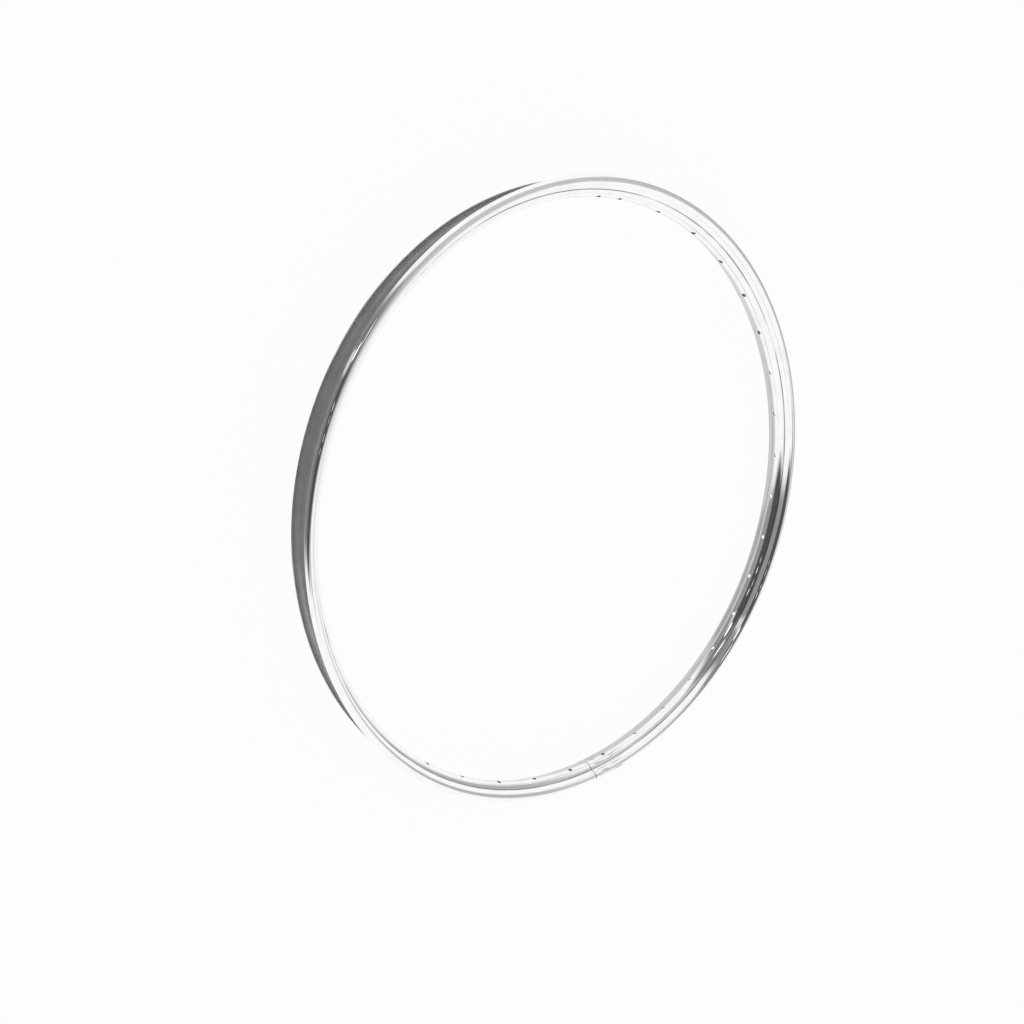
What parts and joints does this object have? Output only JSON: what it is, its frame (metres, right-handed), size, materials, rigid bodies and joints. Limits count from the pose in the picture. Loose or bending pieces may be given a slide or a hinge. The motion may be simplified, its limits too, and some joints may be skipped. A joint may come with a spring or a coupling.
{
  "type": "bicycle rim",
  "caption": "Bare chromed steel bicycle rim with a single-wall rolled section, radial spoke holes and a valve hole.",
  "frame": {"origin": "centre of the hoop, halfway across its width", "axes": "+Z along the hoop's axis, which is the wheel's axle; +Y towards the valve hole; the hoop lies flat"},
  "size_m": [0.61, 0.61, 0.0342],
  "materials": {
    "chrome": "polished chrome plate"
  },
  "bodies": {
    "root": {"rim": "chrome"}
  },
  "joints": []
}
